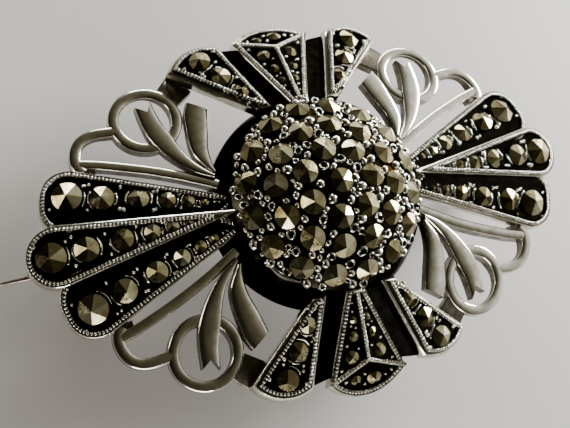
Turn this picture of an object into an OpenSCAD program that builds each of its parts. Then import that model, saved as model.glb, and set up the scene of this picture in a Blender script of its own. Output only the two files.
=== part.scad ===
// Oval cluster brooch: a stone-set dome on a flared collar, ringed by twelve set petals and four
// openwork scroll panels, with a hinged pin and a rollover safety catch on the back.
// The origin is the middle of the flat back disc. +X is the long axis and +Z points out of the face.

/* [Dome] */
// Radius of the sphere that the dome's metal follows
dome_sphere_r = 12; // [11.9:0.1:12.1]
// Height of the dome's rim above the back
dome_rim_z = 4.6; // [4.5:0.1:4.7]
// Height of the dome's crown above the back
dome_top_z = 8; // [7.9:0.1:8.1]
// Wall of the dome
dome_wall = 0.9; // [0.8:0.1:1]
// Diameter of a stone on the dome
dome_stone_d = 2.04; // [1.9:0.02:2.06]

/* [Collar] */
// Radius at the foot of the collar
collar_foot_r = 9.5; // [9.4:0.1:9.6]
// Wall of the collar
collar_wall = 0.8; // [0.7:0.1:0.9]
// Thickness of the disc that closes the back
disc_thick = 0.6; // [0.5:0.1:0.8]
// Diameter of the vent hole in the back disc
vent_d = 1.2; // [0.8:0.1:1.6]

/* [Long petals] */
// Reach of the middle long petal from the centre
long_reach = 25; // [24.8:0.1:25.2]
// Radius of a long petal's round end
long_end_r = 2.5; // [2.4:0.05:2.55]
// Thickness of a middle long petal
long_mid_thick = 1.6; // [1.4:0.1:1.8]
// Thickness of an outer long petal
long_outer_thick = 1.3; // [1.2:0.1:1.5]

/* [Short petals] */
// Reach of the middle short petal from the centre
short_reach = 17.2; // [17.1:0.1:17.3]
// Thickness of a short petal
short_thick = 1.8; // [1.6:0.1:1.9]

/* [Setting] */
// Width of the raised rim around a petal
rim_w = 0.42; // [0.36:0.02:0.46]
// Depth of the sunk floor inside a rim
floor_drop = 0.35; // [0.25:0.05:0.4]
// Depth of the seat that a stone sits in
seat_depth = 0.15; // [0.1:0.05:0.2]
// Height of a stone's crown as a share of its diameter
crown_share = 0.28; // [0.24:0.01:0.32]
// Height of a stone's girdle above the floor as a share of its diameter
girdle_share = 0.12; // [0.1:0.01:0.14]

/* [Scroll panels] */
// Thickness of the scroll wires
scroll_thick = 1.4; // [1.2:0.05:1.6]
// Outer radius of the scroll ring
ring_outer_r = 3.15; // [3.1:0.05:3.2]
// Width of the ring's wire
ring_wire_w = 0.95; // [0.85:0.05:1]
// Width of the loop's wire
loop_wire_w = 0.85; // [0.8:0.05:0.9]
// How far the leaves stand above the wires
leaf_rise = 0.35; // [0.25:0.05:0.45]
// Thickness of the leaves
leaf_thick = 1.15; // [1.05:0.05:1.3]

/* [Pin and catch] */
// Distance of the pin's axis behind the back
pin_drop = 2.6; // [2.6:0.1:2.8]
// Diameter of the pin's stem
stem_d = 0.95; // [0.9:0.05:1]
// Distance from the centre to the hinge
hinge_x = 20.5; // [20.3:0.1:20.7]
// Distance from the centre to the point of the pin
tip_x = 28; // [27.6:0.1:28.4]
// Distance from the centre to the middle of the catch
catch_x = 19; // [18.8:0.1:19.2]

/* [Hidden] */
$fn = 48;
clear = 0.02;
far = 60;
tall = 20;

// Dome
dome_centre_z = dome_top_z - dome_sphere_r;
// Each row of stones is [angle from the crown, number of stones, direction of the first]
dome_rows = [[0, 1, 0], [14.2, 7, 49.8], [25.3, 12, -10.2], [37.2, 16, 7.5]];
dome_seat_drop = 0.22;

// Collar, as [radius, height] up its outer side
collar_foot_z = 1.2;
collar_top_r = 8.47;
collar_line = [[collar_foot_r, collar_foot_z], [9.35, 2], [8.95, 3.3], [collar_top_r, dome_rim_z]];

// A sloped face is [height at the centre, fall per mm of x, fall per mm of y]
long_mid_face = [6.9, 0.2, 0];
long_outer_face = [5.35, 0.124, 0.162];
short_outer_face = [7.34, 0.174, 0.244];
tent_side_face = [7.38, 0.19, 0.32];
tent_ridge_face = [tent_side_face[0], 0, tent_side_face[2]];
tent_end_face = [14.24, 0, 0.8];
scroll_face = [4.42, 0.075, 0.22];
leaf_face = [scroll_face[0] + leaf_rise, scroll_face[1], scroll_face[2]];

vent_y = -5;

// Long petals run from a narrow root to a round end
long_mid_root = [8.4, 0];
long_mid_end = [long_reach - long_end_r, 0];
long_mid_root_r = 0.1;
long_outer_root = [8.6, 1.1];
long_outer_end = [20.6, 4.6];
long_outer_root_r = 0.65;
long_outer_end_r = long_end_r - 0.15;
// Outer long petals are set back from their ends, and their floors run on under the middle petal
outer_setback = 0.35;
outer_tuck = [-0.2, 0.75];
// Each stone in a long petal is [distance from the petal's round end, diameter]
long_stones = [[-0.4, 2.5], [2.3, 2.05], [5.2, 1.8], [7.5, 1.42], [9.2, 1.05], [10.5, 0.75]];

// Short petals are fans with a rounded end
fan_roots = [[3.8, 8.2], [2.45, 8.3]];
fan_headings = [41.7, 69.4];
fan_centre = [6.82, 12.15];
fan_r = 3.65;
tent_roots = [[0.75, 8.2], [-0.75, 8.2]];
tent_headings = [68.9, 111.1];
tent_r = 4.85;
tent_centre = [0, short_reach - tent_r];
tent_corner = leave(tent_roots[0], dir(tent_headings[0]), tent_centre, tent_r);
tent_apex_y = (tent_end_face[0] - tent_side_face[0]) / (tent_end_face[2] - tent_side_face[2]);
fan_stones = [[[7.1, 14.05], 1.9], [[5.85, 12.1], 1.75], [[4.65, 10.25], 1.45]];
tent_side_stones = [[[1.25, 13.7], 1.2], [[0.85, 12.1], 0.9], [[0.6, 10.8], 0.7]];
tent_end_stones = [[[0.55, 15.7], 1.35], [[-1.15, 15.55], 0.95]];
// Extra depth of the tent, and the low webs that join it to the fans
tent_extra = 0.3;
web_line = [[0.5, 8.3], [2.6, 8.3], [5.25, 15.2], [3.4, 14.9]];
web_drop = 1.25;
web_thick = 0.6;
rib_root = 0.3;

// Scroll panels
ring_centre = [12.8, 10.2];
loop_line = [
  [8.6, 2.95], [9.6, 3.5], [11, 4.25], [12.5, 4.97], [14, 5.62], [15.5, 6.2], [17, 6.72], [18.1, 7.1],
  [18.9, 7.6], [19.25, 8.4], [18.95, 9.2], [18.2, 9.7], [17.2, 9.88], [15.4, 9.8]
];
slot_tab = [[17.8, 6.7], [19.1, 7.4], [19.7, 6.6], [18.4, 5.9]];
loop_corner = [[18.7, 6.75], [19.95, 7.25], [19.75, 8.3], [18.9, 8.2]];
petal_bridge = [[9.9, 10.9], [9.05, 11.5], [8.2, 12.05], [10.1, 13.8], [10.6, 13.35], [11.2, 12.7]];
fork_leaf_line = [
  [8.8, 3.5], [10.2, 4.35], [11.8, 6], [13, 7.9], [13.4, 9.5], [13.4, 11.35], [12.52, 10.8], [12.1, 11.65],
  [11.75, 10], [11.15, 8.2], [10.25, 5.7], [8.8, 3.9]
];
wide_leaf_line = [
  [8.4, 4.05], [9, 4.42], [9.8, 5.6], [9.95, 6.9], [9.8, 8.3], [9.75, 10.1], [9.1, 11], [7.3, 9.85],
  [7.95, 8], [8.5, 6.2], [8.45, 5]
];

// Pin and catch
pin_y = -0.3;
pin_z = -pin_drop;
eye_r = 1.05;
eye_w = 1;
eye_play = 0.04;
rivet_r = 0.4;
rivet_play = 0.03;
ear_w = 0.5;
ear_r = eye_r + 0.1;
rivet_head_r = 0.7;
rivet_head_w = 0.35;
neck_end_x = hinge_x - 3;
shank_end_x = -(catch_x - 2);
catch_stem_r = 0.4;
point_from_x = -(catch_x + 2.5);
point_r = 0.08;
housing_r = 1.75;
housing_bore_r = 1.25;
housing_len = 2.2;
barrel_r = 1.2;
barrel_bore_r = 0.62;
barrel_slot_w = 1.14;
housing_slot_w = 1.2;
flange_r = 1.75;
flange_w = 0.35;
flange_play = 0.04;
tab_reach = 3;
tab_w = 1.1;
tab_angle = -60;
lip_r = 1.5;
pad_w = 2.6;
pad_len = 3.4;
pad_z = -0.7;
pad_tall = 4;
foot_w = 1.8;
lap = 0.1;

silver = "silver";
oxide = "dimgray";
pyrite = "darkkhaki";

// Geometry helpers
function dir(a) = [cos(a), sin(a)];
function arc(centre, r, from, to, steps) =
  [for (i = [0:steps]) centre + r * dir(from + (to - from) * i / steps)];
function tilt(face) = atan(norm([face[1], face[2]]));
function heading(face) = atan2(face[2], face[1]);
function height(face, p) = face[0] - face[1] * p[0] - face[2] * p[1];
function lowered(face, d) = [face[0] - d, face[1], face[2]];
// Outline of a shape that widens from one round end to the other
function taper(from, from_r, to, to_r, steps = 18) =
  let (line = to - from, a = atan2(line[1], line[0]), lean = asin((to_r - from_r) / norm(line)))
  concat(arc(to, to_r, a - 90 - lean, a + 90 + lean, steps),
         arc(from, from_r, a + 90 + lean, a + 270 - lean, 4));
// The same shape drawn in by w on every side, keeping its root at least 0.05 wide
function drawn_in(from, from_r, to, to_r, w) =
  let (share = max(0, (w + 0.05 - from_r) / (to_r - from_r)))
  taper(from + (to - from) * share, max(0.05, from_r - w), to, to_r - w);
// Outline of a polygon moved in by w, each corner along its bisector
function inset(pts, w) =
  [for (i = [0:len(pts) - 1])
    let (n = len(pts), p = pts[i], a = p - pts[(i + n - 1) % n], b = pts[(i + 1) % n] - p,
         na = [-a[1], a[0]] / norm(a), nb = [-b[1], b[0]] / norm(b))
    p + w * (na + nb) / (1 + na * nb)];
// Where a line that starts inside a circle leaves it
function leave(p, d, centre, r) =
  let (m = p - centre, b = m * d) p + d * (sqrt(b * b - m * m + r * r) - b);
// Outline of a fan: two straight sides from its roots, joined by an arc, all drawn in by w
function fan(roots, headings, centre, r, w = 0) =
  let (a = roots[0] + w * (dir(headings[0]) + dir(headings[0] + 90)),
       b = roots[1] + w * (dir(headings[1]) + dir(headings[1] - 90)),
       end_a = leave(a, dir(headings[0]), centre, r - w) - centre,
       end_b = leave(b, dir(headings[1]), centre, r - w) - centre)
  concat([b, a], arc(centre, r - w, atan2(end_a[1], end_a[0]), atan2(end_b[1], end_b[0]), 20));
// Point on a smooth curve that passes through b and c
function curve_point(a, b, c, d, t) =
  (2 * b + (c - a) * t + (2 * a - 5 * b + 4 * c - d) * t * t + (3 * b - a - 3 * c + d) * t * t * t) / 2;
// Smooth open curve through the points
function open_curve(pts, steps) =
  let (last = len(pts) - 1)
  concat([for (i = [0:last - 1], s = [0:steps - 1])
      curve_point(pts[max(0, i - 1)], pts[i], pts[i + 1], pts[min(last, i + 2)], s / steps)], [pts[last]]);
// Outline of a wire of width w that follows the points
function wire(pts, w) =
  let (last = len(pts) - 1,
       side = [for (i = [0:last])
         let (d = pts[min(last, i + 1)] - pts[max(0, i - 1)]) [-d[1], d[0]] / norm(d) * w / 2])
  concat([for (i = [0:last]) pts[i] + side[i]], [for (i = [last:-1:0]) pts[i] - side[i]]);

module quadrant(sx, sy) {
  mirror([sx < 0 ? 1 : 0, 0, 0])
    mirror([0, sy < 0 ? 1 : 0, 0])
      children();
}
module on_face(face, p) {
  translate([p[0], p[1], height(face, p)])
    rotate([0, tilt(face), heading(face)])
      children();
}
module above(face) {
  on_face(face, [0, 0])
    translate([-far, -far, 0])
      cube([2 * far, 2 * far, tall]);
}
module below(face) {
  on_face(face, [0, 0])
    translate([-far, -far, -tall])
      cube([2 * far, 2 * far, tall]);
}
// A plate of even thickness under a sloped face, never below the back
module sloped_plate(face, thick, outline) {
  intersection() {
    linear_extrude(tall) polygon(outline);
    on_face(face, [0, 0])
      translate([-far, -far, -thick * cos(tilt(face))])
        cube([2 * far, 2 * far, thick * cos(tilt(face))]);
  }
}
module sunk_floor(face, outline) {
  intersection() {
    linear_extrude(tall) polygon(outline);
    above(lowered(face, floor_drop));
  }
}
module stone_seat(face, p, d) {
  on_face(lowered(face, floor_drop), p)
    translate([0, 0, -seat_depth])
      cylinder(r = d / 2 + clear, h = 1.5);
}
// A rose-cut stone: a round girdle under a six-sided point, its foot at the origin
module rose_stone(d) {
  girdle_z = seat_depth + girdle_share * d;
  crown = crown_share * d;
  foot = [for (i = [0:11]) [for (c = dir(30 * i)) c * d / 2]];
  points = concat(
    [for (p = foot) [p[0], p[1], 0]],
    [for (i = [0:11]) [foot[i][0], foot[i][1], girdle_z + (i % 2 == 0 ? (1 - cos(30)) * crown : 0)]],
    [[0, 0, girdle_z + crown]]);
  faces = concat(
    [[for (i = [0:11]) i]],
    [for (i = [0:11]) [i, i + 12, (i + 1) % 12 + 12, (i + 1) % 12]],
    [for (i = [0:2:10]) [i + 12, 24, (i + 2) % 12 + 12, i + 13]]);
  polyhedron(points, faces);
}
module petal_stones(face, stones) {
  for (s = stones)
    on_face(lowered(face, floor_drop), s[0])
      translate([0, 0, -seat_depth])
        rose_stone(s[1]);
}
// The room that the collar and the dome take up, which the petals, scrolls and leaves stay out of
module clear_of_dome() {
  rotate_extrude($fn = 96)
    polygon(concat([[0, 0], [collar_foot_r + clear, 0]], [for (p = collar_line) [p[0] + clear, p[1]]],
                   [[collar_top_r + clear, tall], [0, tall]]));
}

// Dome
module at_dome_stones(rows) {
  translate([0, 0, dome_centre_z])
    for (row = rows, i = [0:row[1] - 1])
      rotate([0, row[0], row[2] + 360 * i / row[1]])
        translate([0, 0, dome_sphere_r - dome_seat_drop])
          children();
}
module dome_shell() color(silver) {
  difference() {
    intersection() {
      translate([0, 0, dome_centre_z]) sphere(dome_sphere_r, $fn = 96);
      translate([0, 0, dome_rim_z]) cylinder(r = collar_foot_r, h = tall);
    }
    translate([0, 0, dome_centre_z]) sphere(dome_sphere_r - dome_wall, $fn = 96);
    at_dome_stones(dome_rows) cylinder(r = dome_stone_d / 2 + clear, h = 1);
  }
}
module stones_dome(rows) color(pyrite) {
  at_dome_stones(rows) rose_stone(dome_stone_d);
}
module dome_collar() color(oxide) {
  inner_r = collar_foot_r - collar_wall;
  difference() {
    rotate_extrude($fn = 96)
      polygon(concat([[0, 0], [collar_foot_r, 0]], collar_line, [[0, dome_rim_z]]));
    translate([0, 0, -clear]) cylinder(r = inner_r, h = collar_foot_z + 2 * clear);
    translate([0, 0, collar_foot_z])
      cylinder(r1 = inner_r, r2 = collar_top_r - collar_wall, h = dome_rim_z - collar_foot_z + clear);
  }
}
module back_disc() color(silver) {
  difference() {
    cylinder(r = collar_foot_r - collar_wall - clear, h = disc_thick);
    translate([0, vent_y, -clear]) cylinder(d = vent_d, h = disc_thick + 2 * clear);
  }
}

// Long petals
module long_mid_petal(sx) color(silver) quadrant(sx, 1) {
  difference() {
    sloped_plate(long_mid_face, long_mid_thick, long_mid_line());
    sunk_floor(long_mid_face, drawn_in(long_mid_root, long_mid_root_r, long_mid_end, long_end_r, rim_w));
    for (s = long_stones) stone_seat(long_mid_face, long_mid_end - [s[0], 0], s[1]);
    clear_of_dome();
  }
}
function long_mid_line(grow = 0) =
  taper(long_mid_root, long_mid_root_r + grow, long_mid_end, long_end_r + grow);
function long_outer_line(grow = 0) =
  taper(long_outer_root, long_outer_root_r + grow, long_outer_end, long_outer_end_r + grow);
function outer_stone_at(s) =
  let (line = long_outer_end - long_outer_root) long_outer_end - line / norm(line) * (s[0] + outer_setback);
module long_outer_petal(sx, sy) color(silver) quadrant(sx, sy) {
  floor_line = drawn_in(long_outer_root, long_outer_root_r, long_outer_end, long_outer_end_r, rim_w);
  difference() {
    sloped_plate(long_outer_face, long_outer_thick, long_outer_line());
    sunk_floor(long_outer_face, floor_line);
    sunk_floor(long_outer_face, [for (p = floor_line) p - outer_tuck]);
    for (s = long_stones) stone_seat(long_outer_face, outer_stone_at(s), s[1]);
    linear_extrude(tall) polygon(long_mid_line(clear));
    clear_of_dome();
  }
}
module stones_long_mid(sx) color(pyrite) quadrant(sx, 1) {
  petal_stones(long_mid_face, [for (s = long_stones) [long_mid_end - [s[0], 0], s[1]]]);
}
module stones_long_outer(sx, sy) color(pyrite) quadrant(sx, sy) {
  petal_stones(long_outer_face, [for (s = long_stones) [outer_stone_at(s), s[1] - 0.05]]);
}

// Short petals
function fan_line(w = 0) = fan(fan_roots, fan_headings, fan_centre, fan_r, w);
function tent_line(w = 0) = fan(tent_roots, tent_headings, tent_centre, tent_r, w);
module short_outer_petal(sx, sy) color(silver) quadrant(sx, sy) {
  difference() {
    sloped_plate(short_outer_face, short_thick, fan_line());
    sunk_floor(short_outer_face, fan_line(rim_w));
    for (s = fan_stones) stone_seat(short_outer_face, s[0], s[1]);
    clear_of_dome();
  }
}
module stones_short_outer(sx, sy) color(pyrite) quadrant(sx, sy) {
  petal_stones(short_outer_face, fan_stones);
}
module tent_faces(drop) {
  above(lowered(tent_side_face, drop));
  mirror([1, 0, 0]) above(lowered(tent_side_face, drop));
  above(lowered(tent_end_face, drop));
}
// A raised rib from one point of the tent to another
module tent_rib(from, to) {
  run = to - from;
  translate(from)
    rotate([0, 90 - atan2(run[2], norm([run[0], run[1]])), atan2(run[1], run[0])])
      translate([0, -rim_w / 2, 0])
        cube([floor_drop + rib_root, rim_w, norm(run)]);
}
module tent_ribs() {
  top = [0, tent_apex_y, height(tent_side_face, [0, tent_apex_y])];
  root = [0, tent_roots[0][1], height(tent_side_face, [0, tent_roots[0][1]])];
  tent_rib(root, top);
  for (s = [-1, 1])
    tent_rib(top, [s * tent_corner[0], tent_corner[1], height(tent_end_face, tent_corner)]);
}
// The middle short petal, shaped like a hipped roof, with the low webs that join it to its neighbours
module short_mid_petal(sy) color(silver) quadrant(1, sy) {
  difference() {
    union() {
      difference() {
        linear_extrude(tall) polygon(tent_line());
        tent_faces(0);
        intersection() {
          linear_extrude(tall) polygon(tent_line(rim_w));
          tent_faces(floor_drop);
        }
      }
      intersection() {
        tent_ribs();
        linear_extrude(tall) polygon(tent_line());
      }
      for (s = [0, 1]) mirror([s, 0, 0])
        sloped_plate(lowered(short_outer_face, web_drop), web_thick, web_line);
    }
    for (s = [0, 1]) mirror([s, 0, 0]) {
      for (t = tent_side_stones) stone_seat(tent_side_face, t[0], t[1]);
      translate([0, 0, -clear]) linear_extrude(tall) polygon(fan_line(-clear));
    }
    for (t = tent_end_stones) stone_seat(tent_end_face, t[0], t[1]);
    below(lowered(tent_ridge_face, short_thick + tent_extra));
    clear_of_dome();
  }
}
module stones_short_mid(sy) color(pyrite) quadrant(1, sy) {
  for (s = [0, 1]) mirror([s, 0, 0]) petal_stones(tent_side_face, tent_side_stones);
  petal_stones(tent_end_face, tent_end_stones);
}

// Scroll panels
module scroll_panel(sx, sy) color(silver) quadrant(sx, sy) {
  difference() {
    intersection() {
      difference() {
        union() {
          translate(ring_centre) cylinder(r = ring_outer_r, h = tall);
          for (outline = [wire(open_curve(loop_line, 3), loop_wire_w), loop_corner, slot_tab, petal_bridge])
            linear_extrude(tall) polygon(outline);
        }
        translate(ring_centre) cylinder(r = ring_outer_r - ring_wire_w, h = tall);
      }
      on_face(scroll_face, [0, 0])
        translate([-far, -far, -scroll_thick]) cube([2 * far, 2 * far, scroll_thick]);
    }
    for (outline = [inset(fork_leaf_line, -clear), inset(wide_leaf_line, -clear),
                    fan_line(-clear), long_outer_line(clear)])
      translate([0, 0, -clear]) linear_extrude(tall) polygon(outline);
    clear_of_dome();
  }
}
module scroll_leaf(sx, sy, outline) color(silver) quadrant(sx, sy) {
  difference() {
    sloped_plate(leaf_face, leaf_thick, outline);
    clear_of_dome();
  }
}

// Hinge
module hinge_bracket() color(silver) {
  difference() {
    union() {
      translate([hinge_x - pad_len / 2, pin_y - pad_w / 2, pad_z]) cube([pad_len, pad_w, pad_tall]);
      for (s = [-1, 1])
        translate([0, pin_y + s * (eye_w / 2 + eye_play + ear_w / 2), 0]) {
          translate([hinge_x, ear_w / 2, pin_z]) rotate([90, 0, 0]) cylinder(r = ear_r, h = ear_w);
          translate([hinge_x - ear_r, -ear_w / 2, pin_z]) cube([2 * ear_r, ear_w, pad_z - pin_z + lap]);
        }
    }
    translate([hinge_x, far, pin_z]) rotate([90, 0, 0]) cylinder(r = rivet_r, h = 2 * far);
    above(lowered(long_mid_face, long_mid_thick));
  }
}
module hinge_rivet() color(silver) {
  half = eye_w / 2 + eye_play + ear_w;
  translate([hinge_x, pin_y, pin_z]) rotate([90, 0, 0]) {
    translate([0, 0, -half - rivet_head_w]) cylinder(r = rivet_r, h = 2 * (half + rivet_head_w));
    translate([0, 0, half]) cylinder(r = rivet_head_r, h = rivet_head_w);
    translate([0, 0, -half - rivet_head_w]) cylinder(r = rivet_head_r, h = rivet_head_w);
  }
}
module pin_stem() color(silver) {
  translate([0, pin_y, pin_z])
    difference() {
      union() {
        translate([hinge_x, eye_w / 2, 0]) rotate([90, 0, 0]) cylinder(r = eye_r, h = eye_w);
        translate([neck_end_x, 0, 0]) rotate([0, 90, 0])
          cylinder(r1 = stem_d / 2, r2 = eye_w / 2, h = hinge_x - neck_end_x - eye_r / 2);
        translate([shank_end_x, 0, 0]) rotate([0, 90, 0])
          cylinder(d = stem_d, h = neck_end_x - shank_end_x);
        translate([point_from_x, 0, 0]) rotate([0, 90, 0])
          cylinder(r1 = catch_stem_r, r2 = stem_d / 2, h = shank_end_x - point_from_x);
        translate([-tip_x, 0, 0]) rotate([0, 90, 0])
          cylinder(r1 = point_r, r2 = catch_stem_r, h = tip_x + point_from_x);
      }
      translate([hinge_x, far, 0]) rotate([90, 0, 0]) cylinder(r = rivet_r + rivet_play, h = 2 * far);
    }
}

// Rollover catch: a barrel that turns in a split tube and closes over the pin
module catch_housing() color(silver) {
  translate([-catch_x, pin_y, 0])
    difference() {
      union() {
        translate([-housing_len / 2, -pad_w / 2, pad_z]) cube([housing_len, pad_w, pad_tall]);
        translate([-housing_len / 2, -foot_w / 2, pin_z]) cube([housing_len, foot_w, pad_z - pin_z + lap]);
        translate([-housing_len / 2, 0, pin_z]) rotate([0, 90, 0]) cylinder(r = housing_r, h = housing_len);
      }
      translate([-housing_len, 0, pin_z]) {
        rotate([0, 90, 0]) cylinder(r = housing_bore_r, h = 2 * housing_len);
        translate([0, -housing_slot_w / 2, -far]) cube([2 * housing_len, housing_slot_w, far]);
      }
      translate([catch_x, -pin_y, 0]) mirror([1, 0, 0]) above(lowered(long_mid_face, long_mid_thick));
    }
}
module catch_barrel() color(silver) {
  flange_x = housing_len / 2 + flange_play;
  translate([-catch_x, pin_y, pin_z])
    difference() {
      union() {
        translate([-flange_x, 0, 0]) rotate([0, 90, 0]) cylinder(r = barrel_r, h = 2 * flange_x);
        translate([flange_x, 0, 0]) rotate([0, 90, 0]) cylinder(r = flange_r, h = flange_w);
        translate([-flange_x - flange_w, 0, 0]) rotate([0, 90, 0]) cylinder(r = lip_r, h = flange_w);
        rotate([tab_angle, 0, 0])
          translate([flange_x, -tab_w / 2, -tab_reach]) cube([flange_w, tab_w, tab_reach]);
      }
      translate([-housing_len, 0, 0]) rotate([0, 90, 0]) cylinder(r = barrel_bore_r, h = 2 * housing_len);
      translate([-housing_len, -barrel_slot_w / 2, -far]) cube([2 * housing_len, barrel_slot_w, far]);
    }
}

// One module per piece that repeats a shape above
module petal_right_mid() long_mid_petal(1);
module petal_left_mid() long_mid_petal(-1);
module petal_right_upper() long_outer_petal(1, 1);
module petal_right_lower() long_outer_petal(1, -1);
module petal_left_upper() long_outer_petal(-1, 1);
module petal_left_lower() long_outer_petal(-1, -1);
module petal_top_mid() short_mid_petal(1);
module petal_bottom_mid() short_mid_petal(-1);
module petal_top_right() short_outer_petal(1, 1);
module petal_top_left() short_outer_petal(-1, 1);
module petal_bottom_right() short_outer_petal(1, -1);
module petal_bottom_left() short_outer_petal(-1, -1);
module scroll_upper_right() scroll_panel(1, 1);
module scroll_upper_left() scroll_panel(-1, 1);
module scroll_lower_right() scroll_panel(1, -1);
module scroll_lower_left() scroll_panel(-1, -1);
module fork_leaf_upper_right() scroll_leaf(1, 1, fork_leaf_line);
module fork_leaf_upper_left() scroll_leaf(-1, 1, fork_leaf_line);
module fork_leaf_lower_right() scroll_leaf(1, -1, fork_leaf_line);
module fork_leaf_lower_left() scroll_leaf(-1, -1, fork_leaf_line);
module wide_leaf_upper_right() scroll_leaf(1, 1, wide_leaf_line);
module wide_leaf_upper_left() scroll_leaf(-1, 1, wide_leaf_line);
module wide_leaf_lower_right() scroll_leaf(1, -1, wide_leaf_line);
module wide_leaf_lower_left() scroll_leaf(-1, -1, wide_leaf_line);
module stones_dome_inner() stones_dome([dome_rows[0], dome_rows[1]]);
module stones_dome_middle() stones_dome([dome_rows[2]]);
module stones_dome_outer() stones_dome([dome_rows[3]]);
module stones_right_mid() stones_long_mid(1);
module stones_left_mid() stones_long_mid(-1);
module stones_right_upper() stones_long_outer(1, 1);
module stones_right_lower() stones_long_outer(1, -1);
module stones_left_upper() stones_long_outer(-1, 1);
module stones_left_lower() stones_long_outer(-1, -1);
module stones_top_mid() stones_short_mid(1);
module stones_bottom_mid() stones_short_mid(-1);
module stones_top_right() stones_short_outer(1, 1);
module stones_top_left() stones_short_outer(-1, 1);
module stones_bottom_right() stones_short_outer(1, -1);
module stones_bottom_left() stones_short_outer(-1, -1);

dome_shell();
dome_collar();
back_disc();
petal_right_mid();
petal_right_upper();
petal_right_lower();
petal_left_mid();
petal_left_upper();
petal_left_lower();
petal_top_mid();
petal_top_left();
petal_top_right();
petal_bottom_mid();
petal_bottom_left();
petal_bottom_right();
scroll_upper_right();
scroll_upper_left();
scroll_lower_right();
scroll_lower_left();
fork_leaf_upper_right();
fork_leaf_upper_left();
fork_leaf_lower_right();
fork_leaf_lower_left();
wide_leaf_upper_right();
wide_leaf_upper_left();
wide_leaf_lower_right();
wide_leaf_lower_left();
stones_dome_inner();
stones_dome_middle();
stones_dome_outer();
stones_right_mid();
stones_right_upper();
stones_right_lower();
stones_left_mid();
stones_left_upper();
stones_left_lower();
stones_top_mid();
stones_top_left();
stones_top_right();
stones_bottom_mid();
stones_bottom_left();
stones_bottom_right();
hinge_bracket();
hinge_rivet();
pin_stem();
catch_housing();
catch_barrel();
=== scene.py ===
import math
import random

import bmesh
import bpy
from mathutils import Euler, Matrix, Vector


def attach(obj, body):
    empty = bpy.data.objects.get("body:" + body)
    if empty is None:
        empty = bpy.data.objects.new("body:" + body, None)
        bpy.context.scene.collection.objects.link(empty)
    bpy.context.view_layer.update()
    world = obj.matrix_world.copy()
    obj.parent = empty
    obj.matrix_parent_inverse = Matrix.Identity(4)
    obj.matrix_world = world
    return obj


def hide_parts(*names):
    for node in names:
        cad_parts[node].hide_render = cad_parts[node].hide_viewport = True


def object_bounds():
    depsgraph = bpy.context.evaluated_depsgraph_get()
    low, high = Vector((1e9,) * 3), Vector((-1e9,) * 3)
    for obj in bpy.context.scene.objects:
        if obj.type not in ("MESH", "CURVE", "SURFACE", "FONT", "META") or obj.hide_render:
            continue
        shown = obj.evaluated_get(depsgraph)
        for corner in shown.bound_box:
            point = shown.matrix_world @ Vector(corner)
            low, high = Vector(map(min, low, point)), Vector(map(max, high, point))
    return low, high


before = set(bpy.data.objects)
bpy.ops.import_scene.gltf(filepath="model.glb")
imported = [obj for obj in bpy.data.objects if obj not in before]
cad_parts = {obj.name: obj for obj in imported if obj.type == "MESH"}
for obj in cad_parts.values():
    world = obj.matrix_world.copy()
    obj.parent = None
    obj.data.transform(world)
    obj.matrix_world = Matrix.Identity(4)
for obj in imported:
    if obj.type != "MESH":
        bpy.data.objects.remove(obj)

cad_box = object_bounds()
MM = 0.001
scene = bpy.context.scene

# ---------------------------------------------------------------- camera
# Places and angles are in millimetres and degrees in the object's own frame
CAMERA_AT = (-26.6, -13.32, 69.31)
CAMERA_RIGHT = Vector((0.92414547, -0.27216666, 0.2681053))
CAMERA_LOOK = Vector((0.32173211, 0.17599884, -0.93032944))
CAMERA_LENS = 53.27


def make_camera():
    data = bpy.data.cameras.new("camera")
    data.lens = CAMERA_LENS
    data.sensor_width = 36.0
    data.clip_start = 0.001
    camera = bpy.data.objects.new("camera", data)
    back = -CAMERA_LOOK.normalized()
    right = CAMERA_RIGHT.normalized()
    up = back.cross(right)
    turn = Matrix((right, up, back)).transposed().to_4x4()
    camera.matrix_world = Matrix.Translation(Vector(CAMERA_AT) * MM) @ turn
    scene.collection.objects.link(camera)
    scene.camera = camera


# ---------------------------------------------------------------- sizes, in millimetres, as the CAD frame has them
DOME_R = 12
DOME_TOP = 8
DOME_CENTRE = Vector((0, 0, DOME_TOP - DOME_R))
DOME_RIM = 4.6
DOME_STONE = 2.04
# Each ring of stones on the dome is (degrees from the top, count, turn of the first)
DOME_ROWS = [(0, 1, 0), (14.2, 7, 49.8), (25.3, 12, -10.2), (37.2, 16, 7.5)]
DOME_SEAT = 0.22
RIM_POLAR = math.degrees(math.asin(math.sqrt(1 - ((DOME_RIM - DOME_CENTRE.z) / DOME_R) ** 2)))
# The collar's outer profile is (radius, height)
COLLAR = [(9.5, 0), (9.5, 1.2), (9.35, 2), (8.95, 3.3), (8.47, 4.6)]
COLLAR_WALL = 0.8
DOME_WALL = 0.9

# Nothing that is carved here goes lower than this over the plane of the back
LOWEST = 0.02
# Depth of the sunk floors below a face, and of the stones' seats below the floors
FLOOR = 0.35
SEAT = 0.15
# Height of a stone's girdle and of its point over the girdle, as shares of its diameter
GIRDLE = 0.12
CROWN = 0.28
FACETS = 6
STONE_LEAN = 6
# How much smaller the stones of the petals are cut than their seats
PETAL_STONE_PLAY = 0.05

# A sloped face is (height at the centre, fall per mm of x, fall per mm of y)
LONG_MID_FACE = (6.9, 0.2, 0)
LONG_OUTER_FACE = (5.35, 0.124, 0.162)
FAN_FACE = (7.34, 0.174, 0.244)
TENT_SIDE_FACE = (7.38, 0.19, 0.32)
TENT_END_FACE = (14.24, 0, 0.8)
TENT_APEX = 14.29
SCROLL_FACE = (4.42, 0.075, 0.22)
LEAF_RISE = 0.35

# A long petal is drawn round circles of (centre, radius); its stones are (distance in from the end circle, diameter)
LONG_MID_CIRCLES = [((8.4, 0), 0.1), ((22.5, 0), 2.5)]
LONG_OUTER_CIRCLES = [((8.6, 1.1), 0.65), ((20.6, 4.6), 2.35)]
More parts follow.
